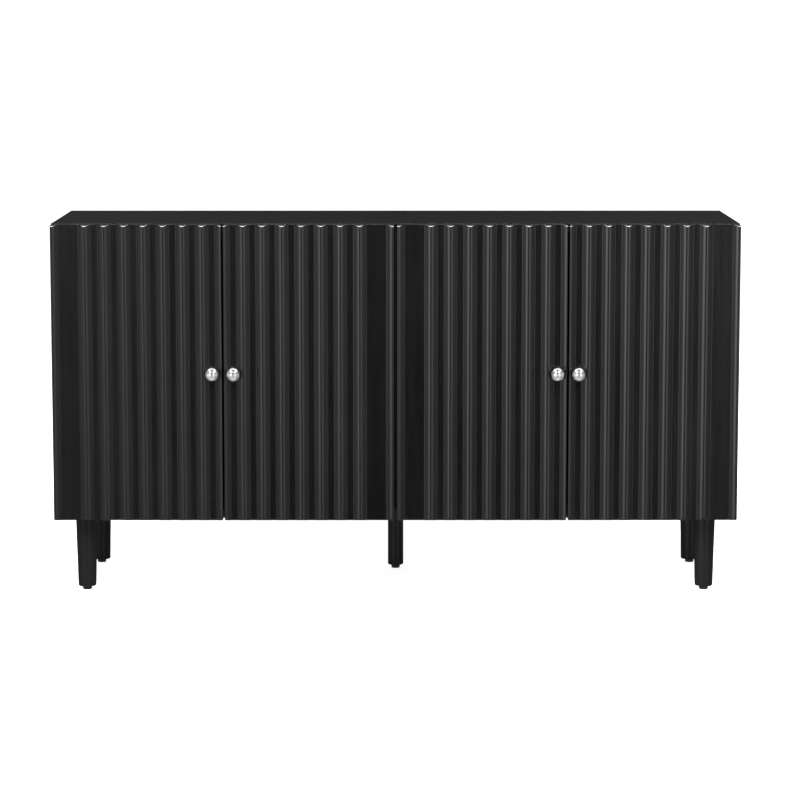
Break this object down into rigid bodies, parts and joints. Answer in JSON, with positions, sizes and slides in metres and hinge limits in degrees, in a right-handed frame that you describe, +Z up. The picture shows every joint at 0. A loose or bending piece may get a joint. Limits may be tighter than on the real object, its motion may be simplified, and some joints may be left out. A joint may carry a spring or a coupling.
{
  "type": "sideboard buffet",
  "caption": "Black sideboard buffet with ribbed doors on concealed hinges, round metal knobs, adjustable shelves and round tapered legs.",
  "frame": {"origin": "centre of the bounding box's bottom face, on the floor", "axes": "+X along the width to the right seen from the front, +Y to the back, +Z up; the doors face -Y"},
  "size_m": [1.52, 0.426, 0.828],
  "materials": {
    "door_black": "black satin lacquer on board",
    "top_black": "black satin lacquer on board",
    "inner_board": "black foil-faced board",
    "back_board": "thin black-faced hardboard",
    "leg_black": "black satin lacquer on turned wood",
    "knob_metal": "polished",
    "hardware_nickel": "nickel-plated pressed steel",
    "glide_plastic": "moulded black plastic"
  },
  "bodies": {
    "carcass": {"top_panel": "top_black", "bottom_panel": "inner_board", "centre_partition": "inner_board", "left_side_panel": "door_black", "right_side_panel": "door_black", "left_back_panel": "back_board", "right_back_panel": "back_board", "left_shelf": "inner_board", "right_shelf": "inner_board", "left_outer_front_shelf_pin": "hardware_nickel", "left_outer_rear_shelf_pin": "hardware_nickel", "left_inner_front_shelf_pin": "hardware_nickel", "left_inner_rear_shelf_pin": "hardware_nickel", "right_inner_front_shelf_pin": "hardware_nickel", "right_inner_rear_shelf_pin": "hardware_nickel", "right_outer_front_shelf_pin": "hardware_nickel", "right_outer_rear_shelf_pin": "hardware_nickel", "front_left_leg": "leg_black", "front_left_leg_mount": "hardware_nickel", "front_left_glide": "glide_plastic", "front_right_leg": "leg_black", "front_right_leg_mount": "hardware_nickel", "front_right_glide": "glide_plastic", "rear_left_leg": "leg_black", "rear_left_leg_mount": "hardware_nickel", "rear_left_glide": "glide_plastic", "rear_right_leg": "leg_black", "rear_right_leg_mount": "hardware_nickel", "rear_right_glide": "glide_plastic", "centre_leg": "leg_black", "centre_leg_mount": "hardware_nickel", "centre_glide": "glide_plastic", "outer_left_lower_hinge_arm": "hardware_nickel", "outer_left_upper_hinge_arm": "hardware_nickel", "inner_left_lower_hinge_arm": "hardware_nickel", "inner_left_upper_hinge_arm": "hardware_nickel", "inner_right_lower_hinge_arm": "hardware_nickel", "inner_right_upper_hinge_arm": "hardware_nickel", "outer_right_lower_hinge_arm": "hardware_nickel", "outer_right_upper_hinge_arm": "hardware_nickel"},
    "outer_left_door_body": {"outer_left_door": "door_black", "outer_left_knob": "knob_metal", "outer_left_knob_screw": "hardware_nickel", "outer_left_lower_hinge_cup": "hardware_nickel", "outer_left_upper_hinge_cup": "hardware_nickel"},
    "inner_left_door_body": {"inner_left_door": "door_black", "inner_left_knob": "knob_metal", "inner_left_knob_screw": "hardware_nickel", "inner_left_lower_hinge_cup": "hardware_nickel", "inner_left_upper_hinge_cup": "hardware_nickel"},
    "inner_right_door_body": {"inner_right_door": "door_black", "inner_right_knob": "knob_metal", "inner_right_knob_screw": "hardware_nickel", "inner_right_lower_hinge_cup": "hardware_nickel", "inner_right_upper_hinge_cup": "hardware_nickel"},
    "outer_right_door_body": {"outer_right_door": "door_black", "outer_right_knob": "knob_metal", "outer_right_knob_screw": "hardware_nickel", "outer_right_lower_hinge_cup": "hardware_nickel", "outer_right_upper_hinge_cup": "hardware_nickel"}
  },
  "joints": [
    {"name": "outer_left_door_hinge", "type": "hinge", "parent": "carcass", "child": "outer_left_door_body", "pos_m": [-0.752, -0.182, 0.497], "axis": [0, 0, -1], "range_deg": [0, 105]},
    {"name": "inner_left_door_hinge", "type": "hinge", "parent": "carcass", "child": "inner_left_door_body", "pos_m": [-0.011, -0.182, 0.497], "axis": [0, 0, 1], "range_deg": [0, 85]},
    {"name": "inner_right_door_hinge", "type": "hinge", "parent": "carcass", "child": "inner_right_door_body", "pos_m": [0.011, -0.182, 0.497], "axis": [0, 0, -1], "range_deg": [0, 85]},
    {"name": "outer_right_door_hinge", "type": "hinge", "parent": "carcass", "child": "outer_right_door_body", "pos_m": [0.752, -0.182, 0.497], "axis": [0, 0, 1], "range_deg": [0, 105]}
  ]
}
